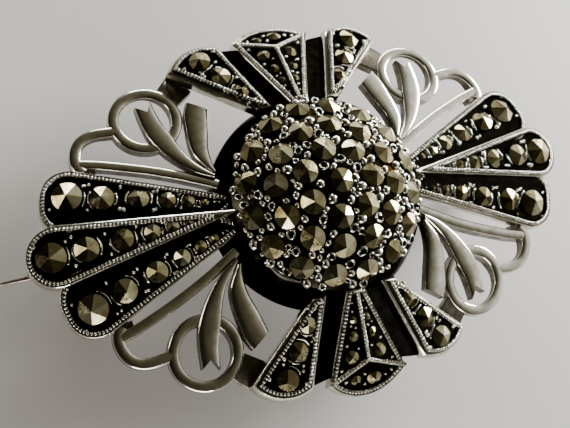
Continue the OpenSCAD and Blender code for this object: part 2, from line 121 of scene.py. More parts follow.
# The outer petals run on beneath the middle one, as far as these circles
LONG_OUTER_TUCK = [((20.8, 3.8), 2.35), ((9.8, 0.2), 0.3)]
LONG_OUTER_SHIFT = 0.35
LONG_STONES = [(-0.4, 2.5), (2.3, 2.05), (5.2, 1.8), (7.5, 1.42), (9.2, 1.05), (10.5, 0.75)]
LONG_MID_THICK = 1.6
LONG_OUTER_THICK = 1.3
# The middle petal's edge rises by this slope; the outer petals' teeth start this far beyond it
MID_SLOPE = 0.172
MID_CLEAR = 0.2
# Teeth start at this radius, and those of the long petals are worn beyond the second one
TEETH_FROM = 8.5
WORN_FROM = 19

# A short petal's sides leave its roots at two headings and end on an arc about its centre
FAN = {"roots": ((3.8, 8.2), (2.45, 8.3)), "headings": (41.7, 69.4), "centre": (6.82, 12.15), "r": 3.65}
TENT = {"roots": ((0.75, 8.2), (-0.75, 8.2)), "headings": (68.9, 111.1), "centre": (0, 12.35), "r": 4.85}
SHORT_THICK = 1.8
ARC_STEPS = 40
SIDE_STEPS = 8
FAN_STONES = [((7.1, 14.05), 1.9), ((5.85, 12.1), 1.75), ((4.65, 10.25), 1.45)]
TENT_SIDE_STONES = [((1.25, 13.7), 1.2), ((0.85, 12.1), 0.9), ((0.6, 10.8), 0.7)]
TENT_END_STONES = [((0.55, 15.7), 1.35), ((-1.15, 15.55), 0.95)]
# Loose beads of the fans and of the hipped petals, each (place, size)
FAN_BEADS = [((8.6, 13.6), 0.5), ((5.75, 14.75), 0.45), ((3.9, 9.15), 0.55), ((4.4, 9.0), 0.4), ((3.5, 8.75), 0.4)]
TENT_SIDE_BEADS = [
    ((2.35, 14.6), 0.4), ((0.6, 13.2), 0.26), ((1.55, 12.75), 0.34), ((0.55, 11.5), 0.28), ((0.95, 11.3), 0.26),
    ((0.62, 10.15), 0.26), ((0.5, 9.5), 0.22),
]
TENT_END_BEADS = [
    ((-0.3, 15.35), 0.3), ((-0.35, 16.1), 0.32), ((1.6, 15.8), 0.34), ((-2.1, 15.6), 0.3), ((2.2, 15.6), 0.3),
]
TENT_EXTRA = 0.3
TENT_RIB_W = 0.4
WEB = [(0.5, 8.3), (2.6, 8.3), (5.25, 15.2), (3.4, 14.9)]
WEB_DROP = 1.25
WEB_THICK = 0.6

RING_CENTRE = (12.8, 10.2)
RING_R = 3.15
RING_WIRE = 0.95
LOOP_WIRE = 0.85
SCROLL_THICK = 1.4
LEAF_THICK = 1.15
BAR_LINE = [
    (8.6, 2.95), (9.6, 3.5), (11, 4.25), (12.5, 4.97), (14, 5.62), (15.5, 6.2), (17, 6.75), (18.1, 7.1), (19.1, 7.35),
]
CURL_LINE = [
    (18.95, 6.5), (19.25, 7.0), (19.35, 7.7), (19.15, 8.55), (18.7, 9.25), (18.0, 9.7), (17.2, 9.85), (16.3, 9.8),
    (15.4, 9.7),
]
SLOT_TAB = [(18, 6.2), (17.9, 7.1), (19.0, 7.5), (19.4, 6.9), (19.0, 6.3)]
PETAL_BRIDGE = [
    (9.9, 10.9), (9.05, 11.5), (8.2, 12.1), (8.5, 13.0), (9.6, 14.0), (10.1, 13.85), (10.6, 13.35), (11.2, 12.7),
]
# Height of the round top of the wires
WIRE_CROWN = 0.2
# How far the webs beside the wires lie below them
WEB_SUNK = 0.16

# Edges of the leaves, the depth of the notch in the end and the height of the crown
FORK = {
    "left": [(8.8, 3.9), (10.25, 5.75), (11.15, 8.2), (11.72, 10), (11.98, 11.8)],
    "right": [(8.8, 3.5), (10.2, 4.35), (11.8, 6), (12.95, 7.9), (13.32, 9.5), (13.45, 11.45)],
    "notch": 0.9,
    "crown": 0.27,
}
WIDE = {
    "left": [(8.42, 4.0), (8.55, 5.1), (8.45, 6.4), (7.95, 8), (7.4, 9.85)],
    "right": [(8.9, 4.1), (9.8, 5.6), (9.95, 6.9), (9.8, 8.4), (9.55, 9.9), (9.05, 11)],
    "notch": 0.0,
    "crown": 0.3,
}

QUADRANTS = {"upper_right": (1, 1), "upper_left": (-1, 1), "lower_right": (1, -1), "lower_left": (-1, -1)}

# First numbers of the random draws of each kind of piece
SEEDS = {
    "long_mid": 11, "long_mid_stones": 31, "long_outer": 50, "long_outer_stones": 90, "fan": 70, "fan_stones": 90,
    "tent": 120, "tent_stones": 140, "dome_stones": 200, "dome_grains": 300,
}


# ---------------------------------------------------------------- plane geometry
def heading(degrees):
    return Vector((math.cos(math.radians(degrees)), math.sin(math.radians(degrees))))


def height(face, p):
    return face[0] - face[1] * p[0] - face[2] * p[1]


def face_normal(face):
    return Vector((face[1], face[2], 1)).normalized()


def on_face(face, p, lift=0.0):
    """The point of the sloped face above plan point p, raised by lift."""
    return Vector((p[0], p[1], height(face, p) + lift))


def round_outline(circles, w, count=96):
    """Outline of the smallest shape round all the circles, drawn in by w; equal counts match point to point."""
    root, root_r = Vector(circles[0][0]), circles[0][1]
    end, end_r = Vector(circles[1][0]), circles[1][1]
    share = max(0.0, (w + 0.05 - root_r) / (end_r - root_r))
    drawn = [(root + (end - root) * share, max(0.05, root_r - w))]
    drawn += [(Vector(c), max(0.05, r - w)) for c, r in circles[1:]]
    axis = math.degrees(math.atan2(end.y - root.y, end.x - root.x))
    points = []
    for i in range(count):
        u = heading(axis + 360 * (i + 0.5) / count)
        centre, r = max(drawn, key=lambda c: c[0].dot(u) + c[1])
        points.append(centre + u * r)
    return points


def leave(p, d, centre, r):
    """Where a line that starts inside a circle leaves it."""
    m = p - centre
    b = m.dot(d)
    return p + d * (math.sqrt(b * b - m.dot(m) + r * r) - b)


def fan_outline(shape, w):
    """Outline of a fan: two straight sides from its roots, joined by an arc, all drawn in by w."""
    centre, r = Vector(shape["centre"]), shape["r"] - w
    ends = []
    roots = []
    for root, angle, side in zip(shape["roots"], shape["headings"], (90, -90)):
        start = Vector(root) + (heading(angle) + heading(angle + side)) * w
        out = leave(start, heading(angle), centre, r) - centre
        roots.append(start)
        ends.append(math.degrees(math.atan2(out.y, out.x)))
    points = [centre + heading(ends[0] + (ends[1] - ends[0]) * i / ARC_STEPS) * r for i in range(ARC_STEPS + 1)]
    left = [points[-1].lerp(roots[1], i / SIDE_STEPS) for i in range(1, SIDE_STEPS + 1)]
    right = [roots[0].lerp(points[0], i / SIDE_STEPS) for i in range(SIDE_STEPS)]
    return points + left + right


def smooth_line(points, steps):
    """A smooth open curve through the points."""
    pts = [Vector(p) for p in points]
    last = len(pts) - 1
    out = []
    for i in range(last):
        a, b, c, d = pts[max(0, i - 1)], pts[i], pts[i + 1], pts[min(last, i + 2)]
        for s in range(steps):
            t = s / steps
            out.append((b * 2 + (c - a) * t + (a * 2 - b * 5 + c * 4 - d) * t * t
                        + (b * 3 - a - c * 3 + d) * t ** 3) / 2)
    return out + [pts[last]]


def spaced(points, pitch, closed=False):
    """Points every pitch along a line, with the direction of the line at each."""
    pts = list(points) + ([points[0]] if closed else [])
    lengths = [(b - a).length for a, b in zip(pts, pts[1:])]
    total = sum(lengths)
    count = max(1, round(total / pitch))
    out = []
    i, done = 0, 0.0
    for k in range(count if closed else count + 1):
        target = total * k / count
        while i < len(lengths) - 1 and done + lengths[i] < target:
            done += lengths[i]
            i += 1
        step = (pts[i + 1] - pts[i]).normalized()
        out.append((pts[i] + step * (target - done), step))
    return out


# ---------------------------------------------------------------- mesh building
class Shape:
    """Collects the vertices and faces of one piece, each face with a material number."""

    def __init__(self):
        self.verts, self.faces, self.kinds = [], [], []

    def add(self, verts, faces, kind=0):
        start = len(self.verts)
        self.verts += [Vector(v) for v in verts]
        self.faces += [tuple(start + i for i in f) for f in faces]
        self.kinds += [kind] * len(faces)

    def loft(self, rings, kinds, ends=(True, True)):
        """Skins rings of points; kinds gives the material of each band, with the two end caps first and last."""
        start, n = len(self.verts), len(rings[0])
        for ring in rings:
            self.verts += [Vector(v) for v in ring]
        for k in range(len(rings) - 1):
            for i in range(n):
                j = (i + 1) % n
                a, b = start + k * n, start + (k + 1) * n
                self.faces.append((a + i, a + j, b + j, b + i))
                self.kinds.append(kinds[k + 1])
        if ends[0]:
            self.faces.append(tuple(start + i for i in reversed(range(n))))
            self.kinds.append(kinds[0])
        if ends[1]:
            self.faces.append(tuple(start + (len(rings) - 1) * n + i for i in range(n)))
            self.kinds.append(kinds[-1])

    def grain(self, at, normal, along, size, rings=4, sides=10):
        """A half-sunk rounded grain: size is (length, width, height), along lies in the surface."""
        z = normal.normalized()
        x = (along - z * along.dot(z)).normalized()
        y = z.cross(x)
        sx, sy, sz = size[0] / 2, size[1] / 2, size[2]
        verts, faces = [at + z * sz], []
        for k in range(1, rings + 1):
            lat = math.radians(112 * k / rings)
            r, h = math.sin(lat), math.cos(lat)
            for i in range(sides):
                a = 2 * math.pi * i / sides
                verts.append(at + x * (sx * r * math.cos(a)) + y * (sy * r * math.sin(a)) + z * (sz * h))
        for i in range(sides):
            faces.append((0, 1 + i, 1 + (i + 1) % sides))
        for k in range(rings - 1):
            for i in range(sides):
                j = (i + 1) % sides
                a, b = 1 + k * sides, 1 + (k + 1) * sides
                faces.append((a + i, b + i, b + j, a + j))
        faces.append(tuple(1 + (rings - 1) * sides + i for i in reversed(range(sides))))
        self.add(verts, faces)

    def cup(self, at, normal, along, size, dice, sides=20):
        """A pushed-up grain whose middle the setting tool has hollowed, its rim uneven and often open to one side."""
        z = normal.normalized()
        x = (along - z * along.dot(z)).normalized()
        y = z.cross(x)
        profile = [(0.5, -0.12), (0.52, 0.1), (0.47, 0.3), (0.38, 0.38), (0.29, 0.33), (0.2, 0.12), (0.08, 0.06)]
        gap = dice.uniform(0.2, 1.0)
        rings = []
        for r, h in profile:
            ring = []
            for i in range(sides):
                a = 2 * math.pi * i / sides
                low = 1 - gap * max(0.0, math.cos(a)) ** 3 * (h > 0.15)
                p = x * (r * size[0] * math.cos(a)) + y * (r * size[1] * math.sin(a))
                ring.append(at + p + z * (h * size[0] * low))
            rings.append(ring)
        self.loft(rings, [0, 0, 0, 0, 0, 1, 1, 1])

    def mirrored(self, sx, sy):
        flip = sx * sy < 0
        out = Shape()
        out.verts = [Vector((v.x * sx, v.y * sy, v.z)) for v in self.verts]
        out.faces = [tuple(reversed(f)) if flip else f for f in self.faces]
        out.kinds = list(self.kinds)
        return out

    def make(self, name, materials, slot, nodes=(), body="front", sharp=38):
        mesh = bpy.data.meshes.new(name)
        mesh.from_pydata([v * MM for v in self.verts], [], self.faces)
        for m in materials:
            mesh.materials.append(m)
        mesh.polygons.foreach_set("material_index", self.kinds)
        mesh.polygons.foreach_set("use_smooth", [True] * len(self.faces))
        work = bmesh.new()
        work.from_mesh(mesh)
        bmesh.ops.recalc_face_normals(work, faces=work.faces)
        limit = math.radians(sharp)
        for edge in work.edges:
            edge.smooth = len(edge.link_faces) == 2 and edge.calc_face_angle(0) < limit
        work.to_mesh(mesh)
        work.free()
        piece = bpy.data.objects.new(name, mesh)
        scene.collection.objects.link(piece)
        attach(piece, body)
        if nodes:
            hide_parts(*nodes)
        return piece


# ---------------------------------------------------------------- materials
def tree(name):
    material = bpy.data.materials.new(name)
    material.use_nodes = True
    nodes = material.node_tree.nodes
    return material, nodes, material.node_tree.links, nodes["Principled BSDF"]


def noise(nodes, links, scale, detail):
    """A noise texture whose scale counts features per millimetre."""
    coord = nodes.new("ShaderNodeTexCoord")
    texture = nodes.new("ShaderNodeTexNoise")
    texture.inputs["Scale"].default_value = scale / MM
    texture.inputs["Detail"].default_value = detail
    texture.inputs["Roughness"].default_value = 0.55
    links.new(coord.outputs["Object"], texture.inputs["Vector"])
    return texture.outputs["Fac"]


def ramp(nodes, links, value, stops):
    node = nodes.new("ShaderNodeValToRGB")
    elements = node.color_ramp.elements
    while len(elements) < len(stops):
        elements.new(0.5)
    for element, (place, colour) in zip(elements, stops):
        element.position = place
        element.color = (*colour, 1)
    links.new(value, node.inputs["Fac"])
    return node.outputs["Color"]


def spread(nodes, links, value, low, high):
    node = nodes.new("ShaderNodeMapRange")
    node.inputs["From Min"].default_value = 0.3
    node.inputs["From Max"].default_value = 0.7
    node.inputs["To Min"].default_value = low
    node.inputs["To Max"].default_value = high
    links.new(value, node.inputs["Value"])
    return node.outputs["Result"]


def bump(nodes, links, value, strength, depth):
    node = nodes.new("ShaderNodeBump")
    node.inputs["Strength"].default_value = strength
    node.inputs["Distance"].default_value = depth * MM
    links.new(value, node.inputs["Height"])
    return node.outputs["Normal"]


def metal(name, dark, light, rough, grain=1.2, pit=(0.35, 0.03)):
    """Worn metal: colour and polish drift over patches, and the skin has fine pits."""
    material, nodes, links, shader = tree(name)
    patches = noise(nodes, links, grain, 4)
    links.new(ramp(nodes, links, patches, [(0.35, dark), (0.62, light)]), shader.inputs["Base Color"])
    links.new(spread(nodes, links, patches, rough[1], rough[0]), shader.inputs["Roughness"])
    links.new(bump(nodes, links, noise(nodes, links, 6, 3), *pit), shader.inputs["Normal"])
    shader.inputs["Metallic"].default_value = 1.0
    return material


def blackened(name, *looks, **more):
    """Metal with a black skin that stays dark even at a glancing angle."""
    material = metal(name, *looks, **more)
    material.node_tree.nodes["Principled BSDF"].inputs["Specular Tint"].default_value = (0.12, 0.11, 0.1, 1)
    return material


def pyrite_material():
    material, nodes, links, shader = tree("pyrite")
    patches = noise(nodes, links, 0.55, 2)
    colours = [(0.3, (0.13, 0.1, 0.045)), (0.5, (0.25, 0.22, 0.115)), (0.7, (0.38, 0.36, 0.24))]
    links.new(ramp(nodes, links, patches, colours), shader.inputs["Base Color"])
    links.new(spread(nodes, links, noise(nodes, links, 3, 3), 0.12, 0.22), shader.inputs["Roughness"])
    links.new(bump(nodes, links, noise(nodes, links, 4, 4), 0.15, 0.01), shader.inputs["Normal"])
    shader.inputs["Metallic"].default_value = 1.0
    return material


SILVER = metal("polished_silver", (0.5, 0.47, 0.38), (0.8, 0.78, 0.7), (0.1, 0.22), grain=0.7, pit=(0.2, 0.02))
OXIDE = blackened("oxidised_silver", (0.005, 0.0045, 0.0035), (0.015, 0.0135, 0.01), (0.16, 0.28), pit=(0.2, 0.02))
# A much darker copy of the silver that paints shade on the sides of wires, leaves and bridges and on the borders'
# grooves and beaded bands
SILVER_IN_PAINTED_SHADE = metal("silver_painted_shade", (0.03, 0.026, 0.018), (0.13, 0.115, 0.085), (0.22, 0.4))
GRAIN = metal("bright_grains", (0.42, 0.4, 0.33), (0.8, 0.78, 0.72), (0.08, 0.16), grain=2, pit=(0.2, 0.02))
AGED = metal("aged_silver", (0.22, 0.2, 0.16), (0.52, 0.49, 0.43), (0.25, 0.42), grain=0.8)
NEEDLE = metal("needle_steel", (0.14, 0.1, 0.08), (0.34, 0.29, 0.24), (0.25, 0.4), grain=1.5)
PYRITE = pyrite_material()
# The plates' materials: silver, oxide, aged silver and the darker copy of the silver that paints shade
PLATE_FINISHES_AND_SHADE = [SILVER, OXIDE, AGED, SILVER_IN_PAINTED_SHADE]


# ---------------------------------------------------------------- stones
def add_stone(shape, at, normal, d, dice):
    """A rose-cut stone: six flat facets over a round girdle, turned and tipped a little as set by hand."""
    tilts = [math.radians(dice.uniform(-STONE_LEAN, STONE_LEAN)) for _ in range(2)]
    lean = Euler((*tilts, 0)).to_matrix()
    facet_angle = 360 / FACETS
    spin = Matrix.Rotation(math.radians(dice.uniform(0, facet_angle)), 3, "Z")
    turn = normal.to_track_quat("Z", "Y").to_matrix() @ lean @ spin
    girdle = SEAT + GIRDLE * d
    crown = CROWN * d * dice.uniform(0.92, 1.04)
    r = d / 2 * 0.985
    per_facet = 6
    count = FACETS * per_facet
    drift = 0.06
    tip = Vector((dice.uniform(-drift, drift) * d, dice.uniform(-drift, drift) * d, girdle + crown))
    corners = []
    for k in range(FACETS):
        u = heading(facet_angle * k) * r
        corners.append(Vector((u.x, u.y, girdle + crown * dice.uniform(0.1, 0.17))))
    foot, belt, edge = [], [], []
    for i in range(count):
        a = 2 * math.pi * i / count
        x, y = r * math.cos(a), r * math.sin(a)
        here, ahead = corners[i // per_facet], corners[(i // per_facet + 1) % FACETS]
        n = (here - tip).cross(ahead - tip)
        foot.append(Vector((x * 0.9, y * 0.9, 0)))
        belt.append(Vector((x, y, girdle - 0.07 * d)))
        edge.append(Vector((x, y, tip.z - (n.x * (x - tip.x) + n.y * (y - tip.y)) / n.z)))
    rings = [[at + turn @ p for p in ring] for ring in (foot, belt, edge)]
    shape.loft(rings, [0, 0, 0, 0], ends=(True, False))
    start = len(shape.verts) - count
    shape.verts.append(at + turn @ tip)
    top = len(shape.verts) - 1
    for k in range(FACETS):
        corner = [start + (k * per_facet + i) % count for i in range(per_facet + 1)]
        shape.faces.append((top, *corner))
        shape.kinds.append(0)


def face_stones(name, faces_and_stones, sx, sy, seed, nodes):
    shape = Shape()
    dice = random.Random(seed)
    for face, stones in faces_and_stones:
        for p, d in stones:
            add_stone(shape, on_face(face, p, -FLOOR - SEAT), face_normal(face), d - PETAL_STONE_PLAY, dice)
    return shape.mirrored(sx, sy).make(name, [PYRITE], "marcasite", nodes, sharp=12)


# ---------------------------------------------------------------- rims, floors and milgrain
# Each border runs from its foot up the wall, over a smooth lip, through a groove and across the beaded band;
# each step is (distance in from the edge, drop below the face, finish of the band that leads to it, where "shade"
# is painted shade in a darker copy of the silver), and UNDERSIDE stands for the plate's thickness
UNDERSIDE = 9
FOOT_EDGE = 0.06
LONG_BORDER = [
    (0.05, UNDERSIDE, "foot"), (0, UNDERSIDE - FOOT_EDGE, "foot"), (0, 0.26, "bright"), (0.02, 0.18, "bright"),
    (0.07, 0.14, "bright"), (0.12, 0.17, "bright"), (0.15, 0.24, "shade"), (0.19, 0.22, "shade"),
    (0.22, 0.12, "shade"), (0.25, 0.09, "shade"), (0.48, 0.09, "shade"), (0.52, 0.13, "shade"),
    (0.54, FLOOR - 0.06, "dark"), (0.58, FLOOR, "dark"),
]
SHORT_BORDER = [
    (0.05, UNDERSIDE, "foot"), (0, UNDERSIDE - FOOT_EDGE, "foot"), (0, 0.8, "bright"), (0.05, 0.66, "bright"),
    (0.14, 0.52, "bright"), (0.24, 0.44, "bright"), (0.3, 0.46, "bright"), (0.33, 0.58, "shade"),
    (0.38, 0.56, "shade"), (0.43, 0.14, "shade"), (0.47, 0.09, "shade"), (0.67, 0.09, "shade"),
    (0.71, 0.13, "shade"), (0.73, FLOOR - 0.06, "dark"), (0.77, FLOOR, "dark"),
]
# Distance in from the edge of the row of teeth on each border
LONG_BEADS = 0.36
SHORT_BEADS = 0.58
# A tooth's length across the band, width along it and height
TOOTH = (0.37, 0.22, 0.13)
TOOTH_PITCH = 0.3
TOOTH_SUNK = 0.11
CLAW_TALL = 0.3


def is_foot(drop):
    return drop > UNDERSIDE / 2


def border_kinds(border):
    """Material numbers of the underside, of every band of the border, and of the floor."""
    # The "shade" bands are painted shade: they take the darker copy of the silver
    number = {"bright": 0, "dark": 1, "foot": 2, "shade": 3}
    return [number[kind] for _, _, kind in border] + [1]


def bordered(shape, border, outline, face_height, thick):
    """A plate with a raised border and a blackened floor; outline(w) is its edge drawn in by w."""
    rings = []
    for w, drop, _ in border:
        ring = []
        for p in outline(w):
            level = face_height(p)
            z = max(LOWEST, level - thick + UNDERSIDE - drop) if is_foot(drop) else level - drop
            ring.append(Vector((p.x, p.y, z)))
        rings.append(ring)
    shape.loft(rings, border_kinds(border))


def milgrain(shape, line, face_height, normal, keep, worn_from=99):
    """A closed row of small raised teeth across the band along a line, worn low beyond a distance from the centre."""
    for p, step in spaced(line, TOOTH_PITCH, True):
        if keep(p):
            wear = 1 - 0.4 * min(1, max(0, (p.length - worn_from) / 3))
            at = Vector((p.x, p.y, face_height(p) - TOOTH_SUNK))
            across = Vector((-step.y, step.x, 0))
            shape.grain(at, normal(p), across, (TOOTH[0], TOOTH[1], (TOOTH[2] + 0.03) * wear), rings=3, sides=8)


def outside_dome(p):
    return math.hypot(p.x, p.y) > TEETH_FROM


def claw(shape, face, centre, r, middle, span, wide):
    """A curved bar of metal pushed up round the edge of a stone; angles are in degrees."""
    n = face_normal(face)
    steps = 8
    rings = []
    for i in range(steps + 1):
        share = i / steps
        u = heading(middle + span * (share - 0.5))
        swell = math.sin(math.pi * (0.08 + 0.84 * share)) ** 0.6
        at = on_face(face, centre + u * r, -FLOOR - 0.02)
        out = Vector((u.x, u.y, 0))
        half, rise = wide / 2 * swell, CLAW_TALL * swell
        profile = [(-1, 0), (-0.95, 0.55), (-0.5, 0.92), (0, 1), (0.5, 0.92), (0.95, 0.55), (1, 0)]
        rings.append([at + out * (half * a) + n * (rise * b) for a, b in profile])
    shape.loft(rings, [0] * (steps + 2))


def gap_grains(shape, face, a, b, dice):
    """The claws and beads in the gap between two stones, which hold both."""
    (pa, da), (pb, db) = a, b
    pa, pb = Vector(pa), Vector(pb)
    axis = pb - pa
    gap = axis.length - da / 2 - db / 2
    to_b = math.degrees(math.atan2(axis.y, axis.x))
    axis.normalize()
    side = Vector((-axis.y, axis.x))
    middle = pa + axis * (da / 2 + gap / 2)
    half = (da + db) / 4
    size = min(0.24, 0.36 * gap)
    for centre, r, aim in ((pa, da / 2, to_b), (pb, db / 2, to_b + 180)):
        claw(shape, face, centre, r + size / 2 + 0.02, aim + dice.uniform(-26, 26), dice.uniform(58, 92),
             size * dice.uniform(0.8, 1.1))
    n = face_normal(face)
    for s in (-1, 1):
        for shift in (-1, 1):
            if dice.random() < 0.8:
                across = side * (s * half * dice.uniform(0.85, 1.1))
                p = middle + across + axis * (shift * dice.uniform(0.1, 0.25) * half)
                bead = dice.uniform(0.32, 0.46) * min(1, half + 0.1)
                shape.grain(on_face(face, p, -FLOOR + 0.02), n, Vector((1, 0, 0)), (bead, bead, bead * 0.75))


def end_grains(shape, face, spots, dice):
    n = face_normal(face)
    for p, size in spots:
        at = on_face(face, p, -FLOOR + 0.02)
        shape.grain(at, n, Vector((1, 0, 0)), (size, size * dice.uniform(0.8, 1), size * 0.7))


def line_stones(circles, shift):
    root, end = Vector(circles[0][0]), Vector(circles[1][0])
    back = (root - end).normalized()
    return [(end + back * (s + shift), d) for s, d in LONG_STONES]


def long_petal(circles, shown, face, thick, shift, keep, seed):
    """Body, milgrain and holding grains of one long petal in the first quadrant."""
    dice = random.Random(seed)
    plate, grains = Shape(), Shape()
    level = lambda p: height(face, p)
    normal = face_normal(face)
    bordered(plate, LONG_BORDER, lambda w: round_outline(shown, w), level, thick)
    milgrain(grains, round_outline(shown, LONG_BEADS), level, lambda p: normal, keep, WORN_FROM)
    stones = line_stones(circles, shift)
    for a, b in zip(stones, stones[1:]):
        gap_grains(grains, face, a, b, dice)
    end, r = Vector(circles[1][0]), circles[1][1]
    out = (end - Vector(circles[0][0])).normalized()
    side = Vector((-out.y, out.x))
    spots = [(end + out * (r - 0.95) + side * s * 1.15, 0.36) for s in (-1, 1)]
    last = stones[-1][0]
    spots += [(last - out * (0.75 + 0.4 * k), 0.3 - 0.05 * k) for k in range(2)]
    end_grains(grains, face, spots, dice)
    return plate, grains


def make_long_petals():
    for side, sx in (("right", 1), ("left", -1)):
        plate, grains = long_petal(LONG_MID_CIRCLES, LONG_MID_CIRCLES, LONG_MID_FACE, LONG_MID_THICK, 0,
                                   outside_dome, SEEDS["long_mid"] + sx)
        plate.mirrored(sx, 1).make(f"petal_{side}_mid_plate", PLATE_FINISHES_AND_SHADE, "silver", [f"petal_{side}_mid"])
        grains.mirrored(sx, 1).make(f"petal_{side}_mid_grains", [GRAIN], "silver", sharp=80)
        face_stones(f"stones_{side}_mid_cut", [(LONG_MID_FACE, line_stones(LONG_MID_CIRCLES, 0))], sx, 1,
                    SEEDS["long_mid_stones"] + sx, [f"stones_{side}_mid"])
        for level, sy in (("upper", 1), ("lower", -1)):
            clear_of_mid = lambda p: (
                outside_dome(p) and p.y > MID_SLOPE * (p.x - LONG_MID_CIRCLES[0][0][0]) + MID_CLEAR)
            own = 3 * sx + sy
            plate, grains = long_petal(LONG_OUTER_CIRCLES, LONG_OUTER_CIRCLES + LONG_OUTER_TUCK, LONG_OUTER_FACE,
                                       LONG_OUTER_THICK, LONG_OUTER_SHIFT, clear_of_mid, SEEDS["long_outer"] + own)
            name = f"{side}_{level}"
            plate.mirrored(sx, sy).make(f"petal_{name}_plate", PLATE_FINISHES_AND_SHADE, "silver", [f"petal_{name}"])
            grains.mirrored(sx, sy).make(f"petal_{name}_grains", [GRAIN], "silver", sharp=80)
            face_stones(f"stones_{name}_cut",
                        [(LONG_OUTER_FACE, line_stones(LONG_OUTER_CIRCLES, LONG_OUTER_SHIFT))], sx, sy,
                        SEEDS["long_outer_stones"] + own, [f"stones_{name}"])


# ---------------------------------------------------------------- short petals
def tent_height(p):
    sides = height(TENT_SIDE_FACE, (abs(p[0]), p[1]))
    return min(sides, height(TENT_END_FACE, p))


def tent_normal(p):
    if height(TENT_END_FACE, p) < height(TENT_SIDE_FACE, (abs(p[0]), p[1])):
        return face_normal(TENT_END_FACE)
    n = face_normal(TENT_SIDE_FACE)
    return Vector((n.x if p[0] > 0 else -n.x, n.y, n.z))


def make_fans():
    for level, sy in (("top", 1), ("bottom", -1)):
        for side, sx in (("right", 1), ("left", -1)):
            own = 3 * sx + sy
            dice = random.Random(SEEDS["fan"] + own)
            plate, grains = Shape(), Shape()
            tall = lambda p: height(FAN_FACE, p)
            n = face_normal(FAN_FACE)
            bordered(plate, SHORT_BORDER, lambda w: fan_outline(FAN, w), tall, SHORT_THICK)
            milgrain(grains, fan_outline(FAN, SHORT_BEADS), tall, lambda p: n, outside_dome)
            for a, b in zip(FAN_STONES, FAN_STONES[1:]):
                gap_grains(grains, FAN_FACE, a, b, dice)
            end_grains(grains, FAN_FACE, FAN_BEADS, dice)
            name = f"{level}_{side}"
            plate.mirrored(sx, sy).make(f"petal_{name}_plate", PLATE_FINISHES_AND_SHADE, "silver", [f"petal_{name}"])
            grains.mirrored(sx, sy).make(f"petal_{name}_grains", [GRAIN], "silver", sharp=80)
            face_stones(f"stones_{name}_cut", [(FAN_FACE, FAN_STONES)], sx, sy, SEEDS["fan_stones"] + own,
                        [f"stones_{name}"])


def tent_body(shape):
    """The hipped middle petal: a rimmed wall round three sunk facets."""
    rings = []
    for w, drop, _ in LONG_BORDER[:-1]:
        ring = []
        for p in fan_outline(TENT, w):
            foot = height((TENT_SIDE_FACE[0], 0, TENT_SIDE_FACE[2]), p) - SHORT_THICK - TENT_EXTRA
            z = max(0.0, foot + UNDERSIDE - drop) if is_foot(drop) else tent_height(p) - drop
            ring.append(Vector((p.x, p.y, z)))
        rings.append(ring)
    rings.append([Vector((p.x, p.y, tent_height(p) - FLOOR)) for p in fan_outline(TENT, LONG_BORDER[-1][0])])
    shape.loft(rings, border_kinds(LONG_BORDER), ends=(True, False))
    ring = rings[-1]
    corner = ARC_STEPS + SIDE_STEPS
    apex = Vector((0, TENT_APEX, height(TENT_SIDE_FACE, (0, TENT_APEX)) - FLOOR))
    left_root, right_root = ring[corner], ring[corner + 1]
    foot = (left_root + right_root) / 2
    foot.z = height(TENT_SIDE_FACE, (0, foot.y)) - FLOOR
    shape.add([apex] + ring[:ARC_STEPS + 1], [tuple(range(ARC_STEPS + 2))], 1)
    shape.add([apex, foot] + ring[corner + 1:] + [ring[0]], [tuple(range(SIDE_STEPS + 3))], 1)
    shape.add([apex] + ring[ARC_STEPS:corner + 1] + [foot], [tuple(range(SIDE_STEPS + 3))], 1)


def tent_rib(shape, grains, a, b):
    """A raised, beaded rib between two points of the tent."""
    run = b - a
    side = Vector((-run.y, run.x, 0)).normalized()
    up = run.cross(side).normalized()
    if up.z < 0:
        up = -up
    half = TENT_RIB_W / 2
    profile = [(-half, -0.4), (-half, -0.08), (-half * 0.6, -0.01), (half * 0.6, -0.01), (half, -0.08), (half, -0.4)]
    rings = [[p + side * s + up * h for s, h in profile] for p in (a, b)]
    shape.loft(rings, [0, 0, 0])
    count = round(run.length / TOOTH_PITCH)
    for i in range(count + 1):
        grains.grain(a + run * (i / count), up, side, TOOTH, rings=3, sides=8)


